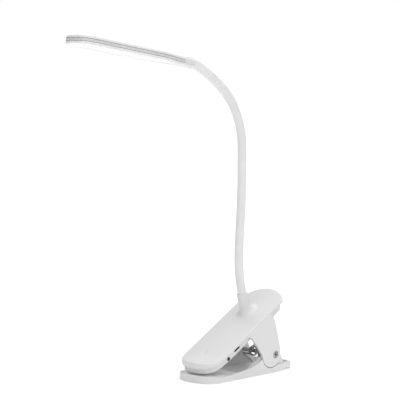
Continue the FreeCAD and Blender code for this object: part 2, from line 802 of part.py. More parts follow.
def conduit(index):
    """One length of the steel conduit that keeps the neck's shape."""
    low, high = inner_span(index)
    body = tube_along(conduit_radius, conduit_bore, max(low, 0.0), min(high, neck.length))
    extra = []
    if low < 0:
        extra.append((COLLAR_TOP - COLLAR_AXIS * (root_insert - low), COLLAR_AXIS, -low))
    if high > neck.length:
        extra.append((neck.at(neck.length)[0], neck.direction(neck.length), high - neck.length))
    for base, along, length in extra:
        piece = Part.makeCylinder(conduit_radius, length, base, along)
        body = body.fuse(piece.cut(Part.makeCylinder(conduit_bore, length, base, along)))
    return body.removeSplitter()


def leads(index):
    """The two insulated leads inside one length of the conduit."""
    low, high = inner_span(index)
    low, high = max(low, 0.0), min(high, neck.length)
    return Part.makeCompound([tube_along(lead_radius, 0.0, low, high,
                                         side * lead_spacing) for side in (-1, 1)])


# ---- lamp head, drawn level and then tilted onto the neck ------------------------------------------

def head_outline(inset, rear):
    """The head's outline from above, as a face: pointing along -Y, its taper ending at the rear."""
    side = head_half_width - inset
    tip = head_length - inset
    small = socket_radius - inset
    sag = head_tip_radius - math.sqrt(head_tip_radius ** 2 - side ** 2)
    taper = []
    for sign in (1, -1):
        poles = [Vector(sign * small, -rear, 0), Vector(sign * small, -rear - 20, 0),
                 Vector(sign * side, -head_taper + 24, 0), Vector(sign * side, -head_taper, 0)]
        curve = Part.BezierCurve()
        curve.setPoles(poles)
        taper.append(curve.toShape())
    near = Vector(side, -tip + sag, 0)
    far = Vector(-side, -tip + sag, 0)
    edges = [
        taper[0],
        Part.LineSegment(Vector(side, -head_taper, 0), near).toShape(),
        Part.Arc(near, Vector(0, -tip, 0), far).toShape(),
        Part.LineSegment(far, Vector(-side, -head_taper, 0)).toShape(),
        taper[1],
        Part.LineSegment(Vector(-small, -rear, 0), Vector(small, -rear, 0)).toShape(),
    ]
    return Part.Face(Part.Wire(Part.__sortEdges__(edges)))


def head_block(inset, low, high, rear=0.0):
    """The head's outline as a slab between two heights, its tip corners rounded."""
    face = head_outline(inset, rear)
    slab = face.translated(Vector(0, 0, low)).extrude(Vector(0, 0, high - low))
    corners = upright_edges(slab, lambda p: p.y < -head_length + 30)
    return slab.makeFillet(head_tip_corner - inset, corners)


def on_neck(shape):
    """Tilt a level head part and put it on the neck's end."""
    mouth, lean = neck.at(neck.length - head_insert)
    turned = shape.copy()
    turned.rotate(Vector(0, 0, 0), X_AXIS, math.degrees(lean) - 90.0)
    turned.translate(mouth)
    return turned


def edge_ring(shape, height):
    """The edges of a slab that lie at one height."""
    return [e for e in shape.Edges
            if abs(e.BoundBox.ZMin - height) < 1e-6 and abs(e.BoundBox.ZMax - height) < 1e-6
            and e.BoundBox.YMin < -1.0]


def head_outer():
    """The head's full outer form, with its round tail."""
    slab = head_block(0.0, head_low, head_high)
    slab = slab.makeFillet(head_top_round, edge_ring(slab, head_high))
    slab = slab.makeFillet(head_low_round, edge_ring(slab, head_low))
    tail = Part.makeCone(socket_radius, 1.6, tail_cone, Vector(0, 0, 0), Vector(0, -1, 0))
    return slab.fuse(tail)


def neck_socket(extra=0.0):
    """The room that the neck's end takes inside the head's tail."""
    return Part.makeCylinder(sleeve_radius + extra, head_insert + 20, Vector(0, 20, 0), Vector(0, -1, 0))


def head_hollow():
    """The room inside the head."""
    room = head_block(head_wall, head_low + diffuser_thickness, head_high - head_wall, 14.0)
    passage = Part.makeCylinder(conduit_radius + 0.1, 24.0, Vector(0, 0, 0), Vector(0, -1, 0))
    pocket = Part.makeCylinder(head_ferrule_radius + 0.05, head_ferrule_length + 0.2,
                               Vector(0, -head_insert, 0),
                               Vector(0, -1, 0))
    return room.fuse(passage).fuse(pocket)


def head_top():
    """Upper shell of the head."""
    upper = Part.makeBox(100, 400, 40, Vector(-50, -300, head_parting))
    body = head_outer().cut(head_hollow()).cut(neck_socket()).common(upper)
    return body.removeSplitter()


def head_frame():
    """Lower frame of the head, which holds the diffuser; a fine groove marks the parting line."""
    lower = Part.makeBox(100, 400, 40, Vector(-50, -300, head_parting - 40))
    window = head_block(diffuser_rim, head_low - 1, head_low + diffuser_thickness + 0.1, diffuser_rear)
    body = head_outer().cut(head_hollow()).cut(neck_socket()).common(lower).cut(window)
    slab = head_block(-1.0, head_parting - parting_groove, head_parting + 1)
    kept = head_block(parting_groove, head_parting - parting_groove, head_parting + 1)
    tail = Part.makeCone(socket_radius - parting_groove, 1.6, tail_cone, Vector(0, 0, 0),
                         Vector(0, -1, 0))
    return body.cut(slab.cut(kept).cut(tail)).removeSplitter()


def diffuser():
    """Opal sheet that fills the window of the head."""
    return head_block(diffuser_rim + 0.05, head_low + 0.1, head_low + diffuser_thickness,
                      diffuser_rear + 0.05)


def led_board():
    """Aluminium-backed strip that carries the light-emitting diodes."""
    top = head_high - head_wall - 0.6
    length = head_length - led_board_front - led_board_rear
    corner = Vector(-led_board_width / 2, led_board_front - head_length, top - led_board_thickness)
    return Part.makeBox(led_board_width, length, led_board_thickness, corner)


def led_chips():
    """Two rows of light-emitting diodes under the board."""
    top = head_high - head_wall - 0.6 - led_board_thickness
    chips = []
    for x in led_rows:
        for index in range(led_count):
            y = led_first - head_length + index * led_pitch
            chips.append(Part.makeBox(led_length, led_width, led_height,
                                      Vector(x - led_length / 2, y - led_width / 2, top - led_height)))
    return Part.makeCompound(chips)


def reflector():
    """White film that closes the space round the board and throws the light down."""
    top = head_high - head_wall - 0.1
    sheet = head_block(head_wall + 0.2, top - 0.4, top, 40.0)
    return sheet


def head_ferrule():
    """Crimped ring that anchors the conduit's upper end in the head's tail."""
    ring = Part.makeCylinder(head_ferrule_radius, head_ferrule_length, Vector(0, -head_insert - 0.1, 0),
                             Vector(0, -1, 0))
    return ring.cut(Part.makeCylinder(conduit_radius, 10, Vector(0, -head_insert + 3, 0),
                                      Vector(0, -1, 0)))


# ---- build -----------------------------------------------------------------------------------------

save("lower_jaw", lower_jaw())
save("lower_grip_pad", lower_pad())
save("pivot_shaft", pivot_shaft())
save("pivot_screws", pivot_screws())
save("spring_coils", spring_coils())
save("spring_bridge", spring_bridge())
save("top_cover", cover())
save("battery_tray", tray())
save("upper_grip_pad", upper_pad())
save("battery_cell", battery())
save("battery_leads", battery_leads())
save("control_board", control_board())
save("board_components", board_parts())
save("usb_socket", usb_socket())
save("charge_light", charge_light())
save("touch_plate", touch_plate())
save("touch_spring", touch_spring())
save("case_screws", case_screws())
save("neck_root_ferrule", root_ferrule())
for number in range(neck_hinges + 1):
    save("neck_sleeve_%d" % number, sleeve(number))
    save("neck_conduit_%d" % number, conduit(number))
    save("neck_leads_%d" % number, leads(number))
save("head_top_shell", on_neck(head_top()))
save("head_lower_frame", on_neck(head_frame()))
save("diffuser", on_neck(diffuser()))
save("reflector_film", on_neck(reflector()))
save("led_board", on_neck(led_board()))
save("led_chips", on_neck(led_chips()))
save("head_ferrule", on_neck(head_ferrule()))
for number, distance in enumerate(hinge_at):
    point, lean = neck.at(distance)
    print("hinge %d at y %.3f z %.3f, lean %.2f" % (number + 1, point.y, point.z, math.degrees(lean)))
mouth, lean = neck.at(neck.length - head_insert)
print("head mouth y %.2f z %.2f, neck shown %.1f" % (mouth.y, mouth.z, neck_visible))
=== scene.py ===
"""Clip-on reading lamp: finishes, neck sleeve, springs, screws and the studio it stands in."""

import json
import math

import bmesh
import bpy
from bpy.props import FloatProperty, FloatVectorProperty, IntProperty, PointerProperty
from mathutils import Matrix, Vector


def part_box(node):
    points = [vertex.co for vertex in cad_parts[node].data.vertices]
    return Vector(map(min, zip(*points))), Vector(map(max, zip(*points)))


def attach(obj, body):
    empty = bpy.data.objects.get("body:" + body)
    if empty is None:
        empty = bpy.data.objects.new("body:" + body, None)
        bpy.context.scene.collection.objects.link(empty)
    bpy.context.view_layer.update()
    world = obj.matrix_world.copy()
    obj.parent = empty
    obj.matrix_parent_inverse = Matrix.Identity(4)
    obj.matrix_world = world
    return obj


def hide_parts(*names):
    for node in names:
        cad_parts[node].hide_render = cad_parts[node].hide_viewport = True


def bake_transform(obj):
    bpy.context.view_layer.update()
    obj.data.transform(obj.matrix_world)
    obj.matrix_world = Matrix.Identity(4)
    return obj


bl_info = {
    "name": "Clip Reading Lamp",
    "version": (1, 0, 0),
    "blender": (4, 5, 0),
    "location": "View3D > Sidebar > Lamp",
    "description": "Finishes and detailed pieces of a clip-on reading lamp",
    "category": "Object",
}

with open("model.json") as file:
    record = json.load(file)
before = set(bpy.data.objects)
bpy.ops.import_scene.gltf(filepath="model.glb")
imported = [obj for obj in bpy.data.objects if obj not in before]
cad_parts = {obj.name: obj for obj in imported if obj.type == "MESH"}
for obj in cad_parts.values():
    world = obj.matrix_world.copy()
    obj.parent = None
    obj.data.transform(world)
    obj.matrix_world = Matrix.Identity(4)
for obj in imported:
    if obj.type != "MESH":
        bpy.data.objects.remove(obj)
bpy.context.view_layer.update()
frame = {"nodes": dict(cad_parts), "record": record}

MM = 0.001
PIVOT = Vector((0, 0, 17.5 * MM))

# the neck's centre line: where it leaves the collar, how far it leans forward there, then its runs
NECK_START = Vector((0, -22.5 * MM, 78.6 * MM))
NECK_START_LEAN = 14.5
NECK_RUNS = (
    ("arc", -3.8, 144.0), ("straight", 37.0), ("arc", 0.0, 600.0), ("straight", 21.0),
    ("arc", 50.0, 76.0), ("arc", 64.0, 160.0), ("arc", 81.5, 30.0),
)
NECK_BODIES = ["clip_housing"] + ["neck_%d" % k for k in range(1, 8)] + ["lamp_head"]
HOUSING_SLOPE = math.radians(30.2)

# sizes in millimetres: the case's seam and its screws, counted along the slope from above the pivot
SEAM_HEIGHT = 65.06
TRAY_DEPTH = 7.95
CASE_SCREW_X = 19.9
CASE_SCREW_ROWS = (-38.0, -1.0)

# the spring: the angle at which a coil's wire leaves it, and how far from the middle the coil starts
SPRING_LEG_ANGLE = 224.0
COIL_START = 4.0

# the head's outline, and the two rows of light chips, in its own level frame
HEAD_HALF_WIDTH = 17.5
HEAD_LENGTH = 145.0
HEAD_TAPER = 57.0
HEAD_TIP_RADIUS = 34.0
HEAD_CORNER = 12.0
HEAD_NECK_HALF = 5.4
CHIP_FIRST = -131.0
CHIP_PITCH = 8.4
CHIP_ROW_X = 6.0
CHIP_SEAT = 0.6
CHIPS_IN_ROW = 11

# the studio, in metres and degrees
FLOOR_HALF = 8.0
CAMERA_LENS = 135.0
CAMERA_SENSOR = 36.0
CAMERA_AZIMUTH = 46.0
CAMERA_ELEVATION = 5.0
CAMERA_PLACE = (1.0254, -1.0703, 0.2989)

# the side of the room that gives little light, which draws the lamp's left edges
DIM_SIDE = (-0.69, -0.70, 0.15)
# the plain materials that come with the CAD nodes bear the slots' own names, so a finish adds this
FINISH = "lamp_"


# ---- what a user would change ----------------------------------------------------------------------

class LampSizes(bpy.types.PropertyGroup):
    """Sizes of the pieces that are made here."""
    sleeve_radius: FloatProperty(name="Sleeve radius", description="Outside radius of the neck's sleeve",
                                 default=4.35 * MM, unit="LENGTH")
    sleeve_wall: FloatProperty(name="Sleeve wall", description="Wall thickness of the neck's sleeve",
                               default=0.7 * MM, unit="LENGTH")
    sleeve_tuck: FloatProperty(name="Sleeve tuck",
                               description="How far the sleeve goes into the collar and the head",
                               default=3.0 * MM, unit="LENGTH")
    wire: FloatProperty(name="Spring wire", description="Thickness of the spring's wire",
                        default=1.6 * MM, unit="LENGTH")
    coil_radius: FloatProperty(name="Coil radius", description="Mean radius of the spring's coils",
                               default=4.6 * MM, unit="LENGTH")
    coil_turns: FloatProperty(name="Coil turns", description="Turns between a coil's two ends", default=2.0)
    screw_radius: FloatProperty(name="Pivot screw radius", description="Radius of the pivot screw's head",
                                default=3.2 * MM, unit="LENGTH")
    case_screw_radius: FloatProperty(name="Case screw radius", description="Radius of a case screw's head",
                                     default=1.9 * MM, unit="LENGTH")
    ring_steps: IntProperty(name="Sleeve sides", description="Sides of the neck sleeve's ring", default=48)


class LampColours(bpy.types.PropertyGroup):
    """Colours of the main finishes."""
    body: FloatVectorProperty(name="Body", description="White moulded plastic", subtype="COLOR",
                              default=(0.625, 0.625, 0.63))
    sleeve: FloatVectorProperty(name="Sleeve", description="White silicone of the neck", subtype="COLOR",
                                default=(0.665, 0.665, 0.667))
    # pale grey grip rubber set lighter than its own grey: painted light, standing in for the light that the
    # clip's closed mouth shuts out
    rubber: FloatVectorProperty(name="Rubber", description="Grip pads", subtype="COLOR",
                                default=(0.80, 0.80, 0.804))
    steel: FloatVectorProperty(name="Steel", description="Shaft, spring and screws", subtype="COLOR",
                               default=(0.50, 0.50, 0.52))
    light: FloatVectorProperty(name="Light", description="Colour of the lit sheet", subtype="COLOR",
                               default=(0.72, 0.718, 0.712))


class LampLights(bpy.types.PropertyGroup):
    """Strengths of the lights."""
    lamp: FloatProperty(name="Lamp", description="Glow of the lit sheet", default=0.08)
    zenith: FloatProperty(name="Zenith", description="Light from straight above", default=1.95)
    horizon: FloatProperty(name="Horizon", description="Light from the room's walls", default=0.34)
    shade: FloatProperty(name="Shade", description="Share of it from the dim side", default=0.30)
    key: FloatProperty(name="Key", description="Soft light from above and the right", default=1.0,
                       unit="POWER")
    fill: FloatProperty(name="Fill", description="Soft light from the front", default=6.0, unit="POWER")


# ---- materials -------------------------------------------------------------------------------------

def link_noise(tree, scale, detail, stretch=(1, 1, 1)):
    """A noise on the piece's own coordinates, stretched if asked; returns its value output."""
    coords = tree.nodes.new("ShaderNodeTexCoord")
    mapping = tree.nodes.new("ShaderNodeMapping")
    mapping.inputs["Scale"].default_value = stretch
    noise = tree.nodes.new("ShaderNodeTexNoise")
    noise.inputs["Scale"].default_value = scale
    noise.inputs["Detail"].default_value = detail
    tree.links.new(coords.outputs["Object"], mapping.inputs["Vector"])
    tree.links.new(mapping.outputs["Vector"], noise.inputs["Vector"])
    return noise.outputs["Fac"]


def spread(tree, value, low, high):
    """A noise value carried to a range."""
    node = tree.nodes.new("ShaderNodeMapRange")
    node.inputs["From Min"].default_value = 0.3
    node.inputs["From Max"].default_value = 0.7
    node.inputs["To Min"].default_value = low
    node.inputs["To Max"].default_value = high
    tree.links.new(value, node.inputs["Value"])
    return node.outputs["Result"]


def finish_material(name, colour, rough, metallic=0.0, grain=2200.0, relief=0.012, cloud=70.0, tint=0.035,
                    coat=0.0, glow=0.0, stretch=(1, 1, 1)):
    """A moulded, ground or drawn finish: cloudy tint, uneven gloss and a fine grain."""
    material = bpy.data.materials.new(name)
    material.use_nodes = True
    tree = material.node_tree
    shader = tree.nodes["Principled BSDF"]
    shader.inputs["Metallic"].default_value = metallic
    shader.inputs["Coat Weight"].default_value = coat
    shader.inputs["Coat Roughness"].default_value = 0.12
    clouds = link_noise(tree, cloud, 3.0)
    ramp = tree.nodes.new("ShaderNodeValToRGB")
    ramp.color_ramp.elements[0].position = 0.3
    ramp.color_ramp.elements[1].position = 0.7
    ramp.color_ramp.elements[0].color = [max(c * (1 - tint), 0.0) for c in colour] + [1]
    ramp.color_ramp.elements[1].color = [min(c * (1 + tint), 1.0) for c in colour] + [1]
    tree.links.new(clouds, ramp.inputs["Fac"])
    tree.links.new(ramp.outputs["Color"], shader.inputs["Base Color"])
    tree.links.new(spread(tree, clouds, rough * 0.88, min(rough * 1.14, 1.0)), shader.inputs["Roughness"])
    bump = tree.nodes.new("ShaderNodeBump")
    bump.inputs["Strength"].default_value = 0.5
    bump.inputs["Distance"].default_value = relief * MM
    tree.links.new(link_noise(tree, grain, 2.0, stretch), bump.inputs["Height"])
    tree.links.new(bump.outputs["Normal"], shader.inputs["Normal"])
    if glow:
        tree.links.new(ramp.outputs["Color"], shader.inputs["Emission Color"])
        shader.inputs["Emission Strength"].default_value = glow
    return material


def finishes():
    """One material for each of the lamp's material slots."""
    colours = bpy.context.scene.lamp_colours
    body = tuple(colours.body)
    steel = tuple(colours.steel)
    shiny = dict(rough=0.38, coat=0.08, tint=0.01)
    table = {
        # painted shadow and painted shade: near-black strips for the shadow in the head's fine seams, and
        # the body colour darkened to 0.86 for the shade on the head's side band
        "seam_shadow": dict(colour=(0.06, 0.06, 0.062), rough=0.8),
        "side_band": dict(colour=[c * 0.86 for c in body], rough=0.45),
        # painted shade: near black for the floor of the screws' cross recesses, where shade falls
        "recess_painted_shade": dict(colour=(0.02, 0.02, 0.021), rough=0.6),
        "cover_plastic": dict(colour=body, **shiny),
        "tray_plastic": dict(colour=body, rough=0.42, tint=0.01),
        "jaw_plastic": dict(colour=body, **shiny),
        "head_plastic": dict(colour=body, **shiny),
        "head_frame_plastic": dict(colour=[c * 1.1 for c in body], rough=0.42),
        "neck_silicone": dict(colour=tuple(colours.sleeve), rough=0.5, grain=1500.0, relief=0.02),
        "conduit_steel": dict(colour=steel, rough=0.3, metallic=1.0),
        "lead_insulation": dict(colour=(0.35, 0.02, 0.02), rough=0.45),
        # the pads' pale grey is raised as painted light for the shaded mouth of the clip
        "grip_rubber": dict(colour=tuple(colours.rubber), rough=0.7, grain=1100.0, relief=0.06, tint=0.2),
        "shaft_chrome": dict(colour=steel, rough=0.14, metallic=1.0, relief=0.004, stretch=(0.05, 1, 1)),
        "screw_steel": dict(colour=[c * 0.8 for c in steel], rough=0.2, metallic=1.0, relief=0.006),
        "case_screw_steel": dict(colour=[c * 0.7 for c in steel], rough=0.3, metallic=1.0),
        # painted shade: the spring's steel is darkened below the shaft's for the dark look of its wire in
        # the gap under the case
        "spring_steel": dict(colour=[c * 0.6 for c in steel], rough=0.22, metallic=1.0, relief=0.006,
                             stretch=(0.1, 1, 1)),
        "cell_foil": dict(colour=(0.6, 0.61, 0.63), rough=0.35, metallic=0.8, grain=500.0, relief=0.08),
        "battery_lead_insulation": dict(colour=(0.03, 0.03, 0.03), rough=0.45),
        "board_laminate": dict(colour=(0.02, 0.16, 0.07), rough=0.4, coat=0.4),
        "component_black": dict(colour=(0.02, 0.02, 0.022), rough=0.5),
        # painted shade: the charging socket's steel is near black for the dark inside of the port
        "socket_steel": dict(colour=(0.012, 0.012, 0.013), rough=0.4),
        "indicator_window": dict(colour=(0.008, 0.008, 0.009), rough=0.5, tint=0.3),
        "contact_copper": dict(colour=(0.75, 0.4, 0.22), rough=0.3, metallic=1.0),
        "contact_steel": dict(colour=steel, rough=0.3, metallic=1.0),
        "ferrule_brass": dict(colour=(0.7, 0.52, 0.25), rough=0.3, metallic=1.0),
        "diffuser_opal": dict(colour=tuple(colours.light), rough=0.4, tint=0.012,
                              glow=bpy.context.scene.lamp_lights.lamp),
        "reflector_white": dict(colour=(0.86, 0.86, 0.86), rough=0.5),
        "led_board_aluminium": dict(colour=(0.8, 0.8, 0.8), rough=0.45),
        "led_phosphor": dict(colour=(0.85, 0.75, 0.25), rough=0.5, glow=1.0),
    }
    return {slot: finish_material(FINISH + slot, **facts) for slot, facts in table.items()}


def material(slot):
    """The finish of a slot, made with all the others the first time that one is asked for."""
    if FINISH + slot not in bpy.data.materials:
        finishes()
    return bpy.data.materials[FINISH + slot]


# ---- meshes ----------------------------------------------------------------------------------------

def new_piece(name, mesh, slot, finish=None):
    """Put a mesh in the scene with the finish of a slot, or with a finish of its own."""
    piece = bpy.data.objects.new(name, mesh)
    bpy.context.scene.collection.objects.link(piece)
    if not mesh.materials:
        mesh.materials.append(material(finish or slot))
    return piece


def smooth(mesh, degrees=40.0):
    """Smooth shading with crisp edges past an angle."""
    mesh.shade_smooth()
    mesh.set_sharp_from_angle(angle=math.radians(degrees))


def mesh_of(name, build):
    """A mesh made by a function that fills a bmesh; its faces are turned outwards."""
    work = bmesh.new()
    build(work)
    bmesh.ops.remove_doubles(work, verts=work.verts, dist=1e-7)
    bmesh.ops.recalc_face_normals(work, faces=work.faces)
    mesh = bpy.data.meshes.new(name)
    work.to_mesh(mesh)
    work.free()
    return mesh


def edges_mesh(name, paths):
    """Open paths of points as edges only, for a wire to follow."""
    mesh = bpy.data.meshes.new(name)
    points, edges = [], []
    for path in paths:
        first = len(points)
        points += path
        edges += [(first + k, first + k + 1) for k in range(len(path) - 1)]
    mesh.from_pydata(points, edges, [])
    return mesh


def add_lathe(work, profile, steps):
    """A turned shape about Z: profile points are (radius, height), both ends on the axis."""
    rings = []
    for radius, height in profile:
        if radius == 0:
            rings.append([work.verts.new((0, 0, height))])
        else:
            turn = 2 * math.pi / steps
            rings.append([work.verts.new((radius * math.cos(k * turn), radius * math.sin(k * turn), height))
                          for k in range(steps)])
    for low, high in zip(rings, rings[1:]):
        for k in range(steps):
            corners = [low[k % len(low)], low[(k + 1) % len(low)],
                       high[(k + 1) % len(high)], high[k % len(high)]]
            distinct = list(dict.fromkeys(corners))
            if len(distinct) > 2:
                work.faces.new(distinct)


def add_box(work, size, centre=(0, 0, 0)):
    """A box of three sizes round a centre."""
    made = bmesh.ops.create_cube(work, size=1.0)["verts"]
    bmesh.ops.scale(work, vec=size, verts=made)
    bmesh.ops.translate(work, vec=centre, verts=made)
    return made


def rounded_path(corners, reach, steps=6):
    """A path through corners, each one eased over a reach to both sides."""
    path = [corners[0]]
    for before, corner, after in zip(corners, corners[1:], corners[2:]):
        a = corner + (before - corner).normalized() * min(reach, (before - corner).length * 0.45)
        b = corner + (after - corner).normalized() * min(reach, (after - corner).length * 0.45)
        for k in range(steps + 1):
            t = k / steps
            path.append(a * (1 - t) ** 2 + corner * 2 * t * (1 - t) + b * t ** 2)
    return path + [corners[-1]]


# ---- geometry nodes --------------------------------------------------------------------------------

def new_tree(name, sockets):
    """A node group with a geometry in and out, and named inputs of the given kinds."""
    tree = bpy.data.node_groups.new(name, "GeometryNodeTree")
    tree.interface.new_socket("Geometry", in_out="INPUT", socket_type="NodeSocketGeometry")
    tree.interface.new_socket("Geometry", in_out="OUTPUT", socket_type="NodeSocketGeometry")
    for label, kind in sockets:
        tree.interface.new_socket(label, in_out="INPUT", socket_type=kind)
    return tree, tree.nodes.new("NodeGroupInput"), tree.nodes.new("NodeGroupOutput")


def finish_tree(tree, source, inside, outside):
    """Realize instances and set the material, at the end of a tree."""
    real = tree.nodes.new("GeometryNodeRealizeInstances")
    paint = tree.nodes.new("GeometryNodeSetMaterial")
    tree.links.new(source, real.inputs["Geometry"])
    tree.links.new(real.outputs["Geometry"], paint.inputs["Geometry"])
    tree.links.new(inside.outputs["Material"], paint.inputs["Material"])
    tree.links.new(paint.outputs["Geometry"], outside.inputs["Geometry"])


def wire_tree():
    """Round wire along every path of the input."""
    tree, inside, outside = new_tree("Wire Along Paths", [
        ("Radius", "NodeSocketFloat"), ("Sides", "NodeSocketInt"), ("Material", "NodeSocketMaterial")])
    curve = tree.nodes.new("GeometryNodeMeshToCurve")
    circle = tree.nodes.new("GeometryNodeCurvePrimitiveCircle")
    sweep = tree.nodes.new("GeometryNodeCurveToMesh")
    sweep.inputs["Fill Caps"].default_value = True
    tree.links.new(inside.outputs["Geometry"], curve.inputs["Mesh"])
    tree.links.new(inside.outputs["Radius"], circle.inputs["Radius"])
    tree.links.new(inside.outputs["Sides"], circle.inputs["Resolution"])
    tree.links.new(curve.outputs["Curve"], sweep.inputs["Curve"])
    tree.links.new(circle.outputs["Curve"], sweep.inputs["Profile Curve"])
    finish_tree(tree, sweep.outputs["Mesh"], inside, outside)
    return tree


def placing_tree():
    """A copy of one part on every point of the input, its Z turned to the point's facing."""
    tree, inside, outside = new_tree("Parts On Points", [
        ("Part", "NodeSocketObject"), ("Size", "NodeSocketFloat"), ("Material", "NodeSocketMaterial")])
    facing = tree.nodes.new("GeometryNodeInputNamedAttribute")
    facing.data_type = "FLOAT_VECTOR"
    facing.inputs["Name"].default_value = "facing"
    turn = tree.nodes.new("FunctionNodeAlignRotationToVector")
    turn.axis = "Z"
    part = tree.nodes.new("GeometryNodeObjectInfo")
    part.inputs["As Instance"].default_value = True
    place = tree.nodes.new("GeometryNodeInstanceOnPoints")
    tree.links.new(inside.outputs["Part"], part.inputs["Object"])
    tree.links.new(inside.outputs["Geometry"], place.inputs["Points"])
    tree.links.new(part.outputs["Geometry"], place.inputs["Instance"])
    tree.links.new(facing.outputs["Attribute"], turn.inputs["Vector"])
    tree.links.new(turn.outputs["Rotation"], place.inputs["Rotation"])
    tree.links.new(inside.outputs["Size"], place.inputs["Scale"])
    finish_tree(tree, place.outputs["Instances"], inside, outside)
    return tree


def made_by_nodes(name, mesh, tree, slot, finish=None, **values):
    """A piece whose mesh is what a node tree makes of the given mesh."""
    source = bpy.data.objects.new(name + "_source", mesh)
    bpy.context.scene.collection.objects.link(source)
    modifier = source.modifiers.new("Nodes", "NODES")
    modifier.node_group = tree
    values["Material"] = material(finish or slot)
    for item in tree.interface.items_tree:
        if item.in_out == "INPUT" and item.name in values:
            modifier[item.identifier] = values[item.name]
    result = bpy.data.meshes.new_from_object(source.evaluated_get(bpy.context.evaluated_depsgraph_get()))
    source.modifiers.clear()
    bpy.data.objects.remove(source)
    result.name = name
    if not result.polygons:
        raise RuntimeError(name + " came out empty")
    work = bmesh.new()
    work.from_mesh(result)
    bmesh.ops.recalc_face_normals(work, faces=work.faces)
    work.to_mesh(result)
    work.free()
    smooth(result)
    return new_piece(name, result, slot)


def points_mesh(name, places):
    """Points with the way that each one faces."""
    mesh = bpy.data.meshes.new(name)
    mesh.from_pydata([point for point, facing in places], [], [])
    attribute = mesh.attributes.new("facing", "FLOAT_VECTOR", "POINT")
    for k, (point, facing) in enumerate(places):
        attribute.data[k].vector = facing
    return mesh


# ---- neck ------------------------------------------------------------------------------------------

def neck_line(step=0.25):
    """Points and forward leans along the neck, a short step apart, from the collar to the head."""
    point, lean = NECK_START.copy(), math.radians(NECK_START_LEAN)
    line = [(point.copy(), lean)]
    for run in NECK_RUNS:
        if run[0] == "straight":
            length, turned = run[1], 0.0
        else:
            turned = math.radians(run[1]) - lean
            length = abs(turned) * run[2]
        count = max(int(round(length / step)), 1)
        for _ in range(count):
            middle = lean + turned / count / 2
            point = point + Vector((0, -math.sin(middle), math.cos(middle))) * (length / count * MM)
            lean += turned / count
            line.append((point.copy(), lean))
    return line


def add_tube(work, line, radius, bore, steps):
    """A closed tube wall round a line of points and leans."""
    shells = []
    for size in (radius, bore):
        rings = []
        for point, lean in line:
            side = Vector((0, math.cos(lean), math.sin(lean)))
            turn = 2 * math.pi / steps
            rings.append([work.verts.new(point + Vector((1, 0, 0)) * size * math.cos(k * turn)
                                         + side * size * math.sin(k * turn)) for k in range(steps)])
        shells.append(rings)
    for rings in shells:
        for low, high in zip(rings, rings[1:]):
            for k in range(steps):
                work.faces.new((low[k], low[(k + 1) % steps], high[(k + 1) % steps], high[k]))
    for end in (0, -1):
        outer, inner = shells[0][end], shells[1][end]
        for k in range(steps):
            work.faces.new((outer[k], outer[(k + 1) % steps], inner[(k + 1) % steps], inner[k]))


def head_frame_matrix():
    """Where the head's own level frame is: its origin at the neck's end, the head along -Y."""
    point, lean = neck_line()[-1]
    return Matrix.Translation(point) @ Matrix.Rotation(lean - math.pi / 2, 4, "X")


# ---- operators -------------------------------------------------------------------------------------

class LAMP_OT_finishes(bpy.types.Operator):
    """Give every moulded, turned and folded part of the lamp its finish"""
    bl_idname = "lamp.finishes"
    bl_label = "Finishes"

    def execute(self, context):
        for entry in frame["record"]["subparts"]:
            node = frame["nodes"][entry["node"]]
            node.data.materials.clear()
            node.data.materials.append(material(entry["material_slot"]))
        return {"FINISHED"}


class LAMP_OT_neck(bpy.types.Operator):
    """Make the neck's soft sleeve, in as many pieces as the neck has hinges"""
    bl_idname = "lamp.neck"
    bl_label = "Neck sleeve"

    def execute(self, context):
        sizes = context.scene.lamp_sizes
        line = neck_line()
        hinges = len(NECK_BODIES) - 1
        last = len(line) - 1
        for k in range(hinges):
            low, high = round(last * k / hinges), round(last * (k + 1) / hinges)
            part = line[low:high + 1:4]
            if part[-1] is not line[high]:
                part.append(line[high])
            if k == 0:
                point, lean = line[0]
                back = Vector((0, math.sin(lean), -math.cos(lean))) * sizes.sleeve_tuck
                part.insert(0, (point + back, lean))
            if k == hinges - 1:
                point, lean = line[last]
                on = Vector((0, -math.sin(lean), math.cos(lean))) * sizes.sleeve_tuck
                part.append((point + on, lean))
            name = "neck_sleeve_bend_%d" % (k + 1)
            bore = sizes.sleeve_radius - sizes.sleeve_wall
            mesh = mesh_of(name, lambda work: add_tube(work, part, sizes.sleeve_radius, bore,
                                                       sizes.ring_steps))
            smooth(mesh)
            piece = new_piece(name, mesh, "neck_silicone")
            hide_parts(*(["neck_sleeve_0"] if k == 0 else []), "neck_sleeve_%d" % (k + 1))
            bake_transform(piece)
        return {"FINISHED"}


